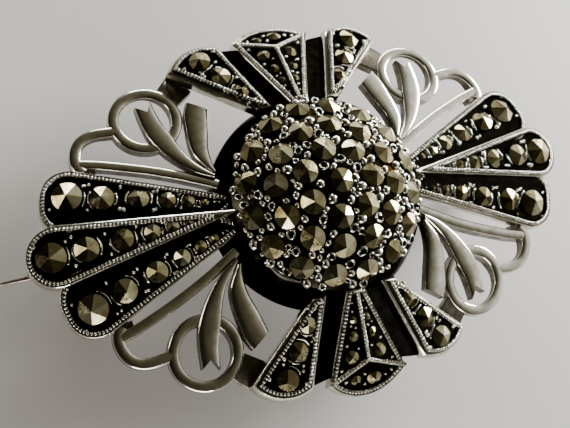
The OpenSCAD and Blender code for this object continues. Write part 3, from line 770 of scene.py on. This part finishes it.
def make_tents():
    corner = fan_outline(TENT, 0.1)[0]
    top = Vector((0, TENT_APEX, height(TENT_SIDE_FACE, (0, TENT_APEX))))
    for level, sy in (("top", 1), ("bottom", -1)):
        dice = random.Random(SEEDS["tent"] + sy)
        plate, grains = Shape(), Shape()
        tent_body(plate)
        root = Vector((0, 8.7, height(TENT_SIDE_FACE, (0, 8.7))))
        tent_rib(plate, grains, root, top)
        for s in (-1, 1):
            tent_rib(plate, grains, top, Vector((s * corner.x, corner.y, tent_height(corner))))
        milgrain(grains, fan_outline(TENT, LONG_BEADS), tent_height, tent_normal, outside_dome)
        for s in (-1, 1):
            face = (TENT_SIDE_FACE[0], s * TENT_SIDE_FACE[1], TENT_SIDE_FACE[2])
            end_grains(grains, face, [((s * x, y), size) for (x, y), size in TENT_SIDE_BEADS], dice)
        end_grains(grains, TENT_END_FACE, TENT_END_BEADS, dice)
        web = Shape()
        for s in (-1, 1):
            tops = [Vector((s * x, y, height(FAN_FACE, (x, y)) - WEB_DROP)) for x, y in WEB]
            web.loft([[p - Vector((0, 0, WEB_THICK)) for p in tops], tops], [0, 0, 0])
        plate.mirrored(1, sy).make(f"petal_{level}_mid_plate", PLATE_FINISHES_AND_SHADE, "silver", [f"petal_{level}_mid"])
        grains.mirrored(1, sy).make(f"petal_{level}_mid_grains", [GRAIN], "silver", sharp=80)
        web.mirrored(1, sy).make(f"petal_{level}_web", [OXIDE], "oxidised_silver")
        mirrored_face = (TENT_SIDE_FACE[0], -TENT_SIDE_FACE[1], TENT_SIDE_FACE[2])
        groups = [(TENT_SIDE_FACE, TENT_SIDE_STONES),
                  (mirrored_face, [((-x, y), d) for (x, y), d in TENT_SIDE_STONES]),
                  (TENT_END_FACE, TENT_END_STONES)]
        face_stones(f"stones_{level}_mid_cut", groups, 1, sy, SEEDS["tent_stones"] + sy,
                    [f"stones_{level}_mid"])


# ---------------------------------------------------------------- scrolls and leaves
def wire_rings(line, width, face, thick, closed=False):
    """Rings of a round-topped wire that follows a plan line on a sloped face."""
    arch = [heading(a) for a in range(180, -1, -18)]
    profile = [(-0.92, -thick), (-1, -thick + 0.08), (-1, -WIRE_CROWN - 0.06)]
    profile += [(u.x, (u.y - 1) * WIRE_CROWN) for u in arch]
    profile += [(1, -WIRE_CROWN - 0.06), (1, -thick + 0.08), (0.92, -thick)]
    rings = []
    n = len(line)
    for i, p in enumerate(line):
        ahead = line[(i + 1) % n] if closed else line[min(n - 1, i + 1)]
        behind = line[i - 1] if closed or i else line[0]
        step = (ahead - behind).normalized()
        side = Vector((-step.y, step.x))
        ring = []
        for s, h in profile:
            q = p + side * (s * (width / 2))
            ring.append(Vector((q.x, q.y, max(LOWEST, height(face, q) + h))))
        rings.append(ring)
    return rings


def add_wire(shape, rings, closed=False):
    """Skins the wire, its rounded top polished and its sides and underside in the darker copy of the silver, painted
    shade.
    """
    start = len(shape.faces)
    shape.loft(rings + [rings[0]] * closed, [1] * (len(rings) + 2), ends=(not closed, not closed))
    n = len(rings[0])
    for k in range(start, len(shape.faces)):
        face = shape.faces[k]
        if len(face) == 4 and 2 <= (min(face) - shape.faces[start][0]) % n <= n - 4:
            shape.kinds[k] = 0


def flat_block(shape, outline, face, top, thick):
    """A bevelled flat block on a sloped face."""
    centre = sum((Vector(p) for p in outline), Vector((0, 0))) / len(outline)
    rings = []
    for w, z in ((0.94, top - thick), (1, top - thick + 0.08), (1, top - 0.08), (0.92, top)):
        ring = [centre + (Vector(p) - centre) * w for p in outline]
        rings.append([Vector((p.x, p.y, max(LOWEST, height(face, p) + z))) for p in ring])
    shape.loft(rings, [0] * 5)


def leaf(outline):
    """A crowned blade between two edge curves, with a notch cut into its end where it forks."""
    rows, cells = 36, 14
    crown = outline["crown"]
    left = spaced(smooth_line(outline["left"], 8), 0.06)
    right = spaced(smooth_line(outline["right"], 8), 0.06)
    rings = []
    for i in range(rows + 1):
        t = i / rows
        a = left[round(t * (len(left) - 1))][0]
        b = right[round(t * (len(right) - 1))][0]
        run = b - a
        back = Vector((run.y, -run.x)).normalized()
        if back.y > 0:
            back = -back
        cut = outline["notch"] * max(0.0, (t - 0.75) / 0.25) ** 2
        over, under = [], []
        for j in range(cells + 1):
            s = (1 - math.cos(math.pi * j / cells)) / 2
            p = a + run * s + back * (cut * (1 - abs(2 * s - 1)))
            top = height(SCROLL_FACE, p) + LEAF_RISE - crown + crown * math.sin(math.pi * j / cells) ** 0.8
            over.append(Vector((p.x, p.y, top)))
            under.append(Vector((p.x, p.y, max(LOWEST, height(SCROLL_FACE, p) + LEAF_RISE - LEAF_THICK))))
        rings.append(over + under[::-1])
    shape = Shape()
    n = len(rings[0])
    # The crowned top is silver; the sides, underside and ends take the darker copy of the silver, painted shade
    shape.loft(rings, [1] * (rows + 2), ends=(False, False))
    for k in range(len(shape.faces)):
        if k % n < cells:
            shape.kinds[k] = 0
    for row in (0, rows):
        for j in range(cells):
            a = row * n
            shape.faces.append((a + j, a + j + 1, a + n - 2 - j, a + n - 1 - j))
            shape.kinds.append(1)
    return shape


def make_scrolls():
    ring_line = [Vector(RING_CENTRE) + heading(4 * i) * (RING_R - RING_WIRE / 2) for i in range(90)]
    bar_line = smooth_line(BAR_LINE, 6)
    curl_line = smooth_line(CURL_LINE, 8)
    for name, (sx, sy) in QUADRANTS.items():
        wires = Shape()
        add_wire(wires, wire_rings(ring_line, RING_WIRE, SCROLL_FACE, SCROLL_THICK, closed=True), closed=True)
        add_wire(wires, wire_rings(bar_line, LOOP_WIRE, SCROLL_FACE, SCROLL_THICK))
        add_wire(wires, wire_rings(curl_line, LOOP_WIRE + 0.1, SCROLL_FACE, SCROLL_THICK))
        webs = Shape()
        for outline in (SLOT_TAB, PETAL_BRIDGE):
            flat_block(webs, outline, SCROLL_FACE, -WEB_SUNK, SCROLL_THICK - 0.2)
        # The wires' sides and the whole bridges take the darker copy of the silver, painted shade
        wires.mirrored(sx, sy).make(f"scroll_{name}_wire", [SILVER, SILVER_IN_PAINTED_SHADE], "silver", [f"scroll_{name}"])
        webs.mirrored(sx, sy).make(f"scroll_{name}_bridges", [SILVER_IN_PAINTED_SHADE], "oxidised_silver")
        for kind, outline in (("fork", FORK), ("wide", WIDE)):
            blade = leaf(outline).mirrored(sx, sy)
            blade.make(f"{kind}_leaf_{name}_blade", [SILVER, SILVER_IN_PAINTED_SHADE], "silver", [f"{kind}_leaf_{name}"], sharp=50)


# ---------------------------------------------------------------- dome
def dome_point(polar, azimuth, r=DOME_R):
    p, a = math.radians(polar), math.radians(azimuth)
    n = Vector((math.sin(p) * math.cos(a), math.sin(p) * math.sin(a), math.cos(p)))
    return DOME_CENTRE + n * r, n


# Beads are first pushed up between three neighbouring stones, then scattered: (smallest, largest, tries)
NEIGHBOUR = 3.3
DOME_BEADS = ((0.72, 0.9, 1200), (0.55, 0.7, 2000), (0.4, 0.5, 250))
# Beads this large may have hollowed middles, and this share of them has
HOLLOWED_FROM = 0.55
HOLLOWED_SHARE = 0.38
# How near a bead may come to a stone's edge and to another bead, as shares of the bead sizes
STONE_LAP = 0.27
BEAD_LAP = 0.47


def dome_stones():
    return [dome_point(polar, turn + 360 * i / count) for polar, count, turn in DOME_ROWS for i in range(count)]


def make_dome_shell():
    shell = Shape()
    bands, inner_bands, around = 22, 6, 96
    rings = []
    for k in range(1, bands + 1):
        rings.append([dome_point(RIM_POLAR * k / bands, 360 * i / around)[0] for i in range(around)])
    inner = DOME_R - DOME_WALL
    land = math.sqrt(inner ** 2 - (DOME_RIM - DOME_CENTRE.z) ** 2)
    inner_polar = math.degrees(math.asin(land / inner))
    hollow = [dome_point(inner_polar * k / inner_bands, 0, inner)[0] for k in range(inner_bands - 1, 0, -1)]
    for r, z in [(land, DOME_RIM)] + [(q.x, q.z) for q in hollow]:
        rings.append([Vector((math.cos(a) * r, math.sin(a) * r, z))
                      for a in (2 * math.pi * i / around for i in range(around))])
    shell.loft(rings, [0] * (len(rings) + 1))
    shell.make("dome_shell_cap", [OXIDE], "oxidised_silver", ["dome_shell"])


def make_dome_stones():
    spots = dome_stones()
    rows = (("inner", spots[:8]), ("middle", spots[8:20]), ("outer", spots[20:]))
    for k, (name, group) in enumerate(rows):
        dice = random.Random(SEEDS["dome_stones"] + k)
        stones = Shape()
        for _, n in group:
            add_stone(stones, DOME_CENTRE + n * (DOME_R - DOME_SEAT), n, DOME_STONE, dice)
        stones.make(f"stones_dome_{name}_cut", [PYRITE], "marcasite", [f"stones_dome_{name}"], sharp=12)


def make_dome_grains():
    grains = Shape()
    dice = random.Random(SEEDS["dome_grains"])
    dirs = [n for _, n in dome_stones()]
    placed = []

    def try_grain(n, size):
        """Puts a bead at direction n unless it would cover a stone or crowd another bead."""
        at = DOME_CENTRE + n * (DOME_R - 0.02)
        if any((at - (DOME_CENTRE + m * DOME_R)).length < DOME_STONE / 2 + size * STONE_LAP for m in dirs):
            return
        if any((at - q).length < (size + s) * BEAD_LAP for q, s in placed):
            return
        placed.append((at, size))
        along = Matrix.Rotation(dice.uniform(0, 6.28), 3, n) @ n.orthogonal()
        if size > HOLLOWED_FROM and dice.random() < HOLLOWED_SHARE:
            grains.cup(at, n, along, (size * 1.05, size * dice.uniform(0.8, 1)), dice)
        else:
            long = dice.uniform(1.0, 1.35) if size < 0.6 else dice.uniform(1.0, 1.15)
            grains.grain(at, n, along, (size * long, size * 0.9, size * 0.5), rings=5, sides=14)

    for i, a in enumerate(dirs):
        for j in range(i + 1, len(dirs)):
            if (a - dirs[j]).length * DOME_R > NEIGHBOUR:
                continue
            for k in range(j + 1, len(dirs)):
                c = dirs[k]
                if max((a - c).length, (dirs[j] - c).length) * DOME_R < NEIGHBOUR:
                    try_grain((a + dirs[j] + c).normalized(), dice.uniform(0.78, 0.98))
    for size_low, size_high, tries in DOME_BEADS:
        for _ in range(tries):
            z = dice.uniform(math.cos(math.radians(RIM_POLAR - 1.2)), 1)
            a = dice.uniform(0, 2 * math.pi)
            r = math.sqrt(1 - z * z)
            try_grain(Vector((r * math.cos(a), r * math.sin(a), z)), dice.uniform(size_low, size_high))
    grains.make("dome_grains", [GRAIN, OXIDE], "silver", sharp=80)


def turned(shape, profile, steps=128):
    """Turns a closed profile of (radius, height) about Z."""
    n = len(profile)
    verts, faces = [], []
    for i in range(steps):
        a, j = 2 * math.pi * i / steps, (i + 1) % steps
        verts += [Vector((r * math.cos(a), r * math.sin(a), z)) for r, z in profile]
        for k in range(n):
            m = (k + 1) % n
            faces.append((i * n + k, j * n + k, j * n + m, i * n + m))
    shape.add(verts, faces)


SEAT_EDGE_FROM = 214
SEAT_EDGE_SPAN = 22
SEAT_EDGE_R = 8.25
SEAT_EDGE_STEPS = 24


def make_seat_edge():
    """The bright lip of metal that shows under the dome's stones at the lower left."""
    edge = Shape()
    rings = []
    for i in range(SEAT_EDGE_STEPS + 1):
        share = i / SEAT_EDGE_STEPS
        bulge = math.sin(math.pi * share)
        out = heading(SEAT_EDGE_FROM + SEAT_EDGE_SPAN * share).to_3d()
        mid = out * (SEAT_EDGE_R + 0.25 * bulge) + Vector((0, 0, DOME_RIM + 0.02))
        half, tall = 0.08 + 0.04 * bulge, 0.15 + 0.4 * bulge
        rings.append([mid - out * half, mid - out * half + Vector((0, 0, tall)), mid + Vector((0, 0, tall + 0.05)),
                      mid + out * half + Vector((0, 0, tall)), mid + out * half])
    edge.loft(rings, [0] * (SEAT_EDGE_STEPS + 2))
    edge.make("dome_seat_edge", [SILVER], "silver")


def make_collar():
    collar = Shape()
    outer = smooth_line(COLLAR, 4)
    foot_in = COLLAR[0][0] - COLLAR_WALL
    inner = [(COLLAR[-1][0] - COLLAR_WALL, DOME_RIM), (foot_in, COLLAR[1][1]), (foot_in, 0)]
    turned(collar, [(p.x, p.y) for p in outer] + inner)
    collar.make("dome_collar_ring", [OXIDE], "oxidised_silver", ["dome_collar"])


make_camera()
make_dome_shell()
make_dome_stones()
make_dome_grains()
make_collar()
make_seat_edge()
make_long_petals()
make_fans()
make_tents()
make_scrolls()


# ---------------------------------------------------------------- findings and back
def finish_node(name, material, bevel):
    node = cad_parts[name]
    node.data.materials.clear()
    node.data.materials.append(material)
    weld = node.modifiers.new("weld", "WELD")
    weld.merge_threshold = 0.000002
    edge = node.modifiers.new("bevel", "BEVEL")
    edge.width = bevel * MM
    edge.segments = 2
    edge.limit_method = "ANGLE"
    edge.angle_limit = math.radians(35)
    edge.harden_normals = False


for node_name, material, width in (
        ("back_disc", AGED, 0.06), ("hinge_bracket", AGED, 0.08), ("hinge_rivet", NEEDLE, 0.06),
        ("pin_stem", NEEDLE, 0.02), ("catch_housing", AGED, 0.06), ("catch_barrel", SILVER, 0.05)):
    finish_node(node_name, material, width)


# ---------------------------------------------------------------- floor and light
def make_floor():
    low = cad_box[0][2]
    size = 0.5
    mesh = bpy.data.meshes.new("floor")
    mesh.from_pydata([(-size, -size, low), (size, -size, low), (size, size, low), (-size, size, low)], [],
                     [(0, 1, 2, 3)])
    floor = bpy.data.objects.new("floor", mesh)
    scene.collection.objects.link(floor)
    material, nodes, links, shader = tree("pale_card")
    mottle = noise(nodes, links, 0.02, 3)
    links.new(ramp(nodes, links, mottle, [(0.3, (0.56, 0.54, 0.52)), (0.7, (0.6, 0.58, 0.56))]),
              shader.inputs["Base Color"])
    links.new(bump(nodes, links, noise(nodes, links, 4, 4), 0.1, 0.05), shader.inputs["Normal"])
    shader.inputs["Roughness"].default_value = 0.7
    mesh.materials.append(material)


def area_light(name, at, size, power, colour):
    """A rectangular lamp at a place in millimetres, turned to the middle of the brooch."""
    data = bpy.data.lights.new(name, "AREA")
    data.shape = "RECTANGLE"
    data.size, data.size_y = (s * MM for s in size)
    data.energy = power
    data.color = colour
    light = bpy.data.objects.new(name, data)
    light.location = Vector(at) * MM
    light.rotation_euler = (-light.location).to_track_quat("-Z", "Y").to_euler()
    scene.collection.objects.link(light)


# The sky brightens along this direction from near black to near white, so that polished faces show contrast
SKY_AIM = (0.9, 0.15, 0.0)
SKY_SHIFT = 0.35
SKY_STOPS = [
    (0.0, (0.012, 0.01, 0.006)), (0.45, (0.1, 0.09, 0.055)), (0.62, (0.2, 0.19, 0.135)), (0.78, (0.34, 0.33, 0.28)),
    (0.96, (0.95, 0.94, 0.9)),
]


def make_light():
    area_light("key_right", (190, 62, 36), (110, 34), 2.3, (1.0, 0.99, 0.96))
    area_light("rim_back", (60, 185, 30), (150, 24), 0.35, (0.98, 0.99, 1.0))
    area_light("rim_front", (-50, -170, 30), (100, 34), 0.25, (1.0, 0.97, 0.93))
    area_light("fill_left", (-150, 40, 60), (40, 40), 0.06, (1.0, 0.92, 0.78))
    world = bpy.data.worlds.new("studio")
    scene.world = world
    world.use_nodes = True
    nodes, links = world.node_tree.nodes, world.node_tree.links
    background = nodes["Background"]
    coord = nodes.new("ShaderNodeTexCoord")
    aim = nodes.new("ShaderNodeVectorMath")
    aim.operation = "DOT_PRODUCT"
    aim.inputs[1].default_value = SKY_AIM
    links.new(coord.outputs["Generated"], aim.inputs[0])
    shift = nodes.new("ShaderNodeMath")
    shift.inputs[1].default_value = SKY_SHIFT
    links.new(aim.outputs["Value"], shift.inputs[0])
    links.new(ramp(nodes, links, shift.outputs["Value"], SKY_STOPS), background.inputs["Color"])
    background.inputs["Strength"].default_value = 1.0


make_floor()
make_light()
